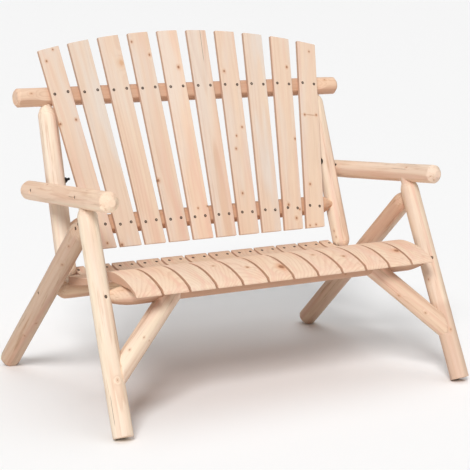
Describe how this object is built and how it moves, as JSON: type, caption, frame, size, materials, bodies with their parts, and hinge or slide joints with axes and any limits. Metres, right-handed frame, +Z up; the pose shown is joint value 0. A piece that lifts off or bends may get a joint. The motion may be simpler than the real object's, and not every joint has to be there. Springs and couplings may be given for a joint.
{
  "type": "rustic log bench",
  "caption": "Two-seat garden bench of peeled logs with turned tenons: raked front legs, leaning rear legs, log armrests, an S-shaped slatted seat and a fanned, arched slat back.",
  "frame": {"origin": "on the floor, under the middle of the bench's overall width and depth", "axes": "+X to the right seen from the front, along the seat; +Y to the rear, the sitter faces -Y; +Z up"},
  "size_m": [1.1426, 0.8354, 0.9914],
  "materials": {
    "peeled_log": "peeled and bare, hand-drawn facets, satin",
    "seat_slat": "sanded bare softwood, matt",
    "back_slat": "sanded bare softwood, matt",
    "bolt_steel": "blackened steel"
  },
  "bodies": {
    "root": {"front_leg_left": "peeled_log", "front_leg_right": "peeled_log", "rear_leg_left": "peeled_log", "rear_leg_right": "peeled_log", "armrest_left": "peeled_log", "armrest_right": "peeled_log", "back_post_left": "peeled_log", "back_post_right": "peeled_log", "knee_brace_left": "peeled_log", "knee_brace_right": "peeled_log", "front_seat_rail": "peeled_log", "rear_seat_rail": "peeled_log", "back_lower_rail": "peeled_log", "back_top_rail": "peeled_log", "seat_slat_01": "seat_slat", "seat_slat_02": "seat_slat", "seat_slat_03": "seat_slat", "seat_slat_04": "seat_slat", "seat_slat_05": "seat_slat", "seat_slat_06": "seat_slat", "seat_slat_07": "seat_slat", "seat_slat_08": "seat_slat", "seat_slat_09": "seat_slat", "seat_slat_10": "seat_slat", "seat_slat_11": "seat_slat", "seat_slat_12": "seat_slat", "back_slat_01": "back_slat", "back_slat_02": "back_slat", "back_slat_03": "back_slat", "back_slat_04": "back_slat", "back_slat_05": "back_slat", "back_slat_06": "back_slat", "back_slat_07": "back_slat", "back_slat_08": "back_slat", "back_slat_09": "back_slat", "back_slat_10": "back_slat", "armrest_bolts": "bolt_steel", "armrest_bolt_nuts": "bolt_steel"}
  },
  "joints": []
}
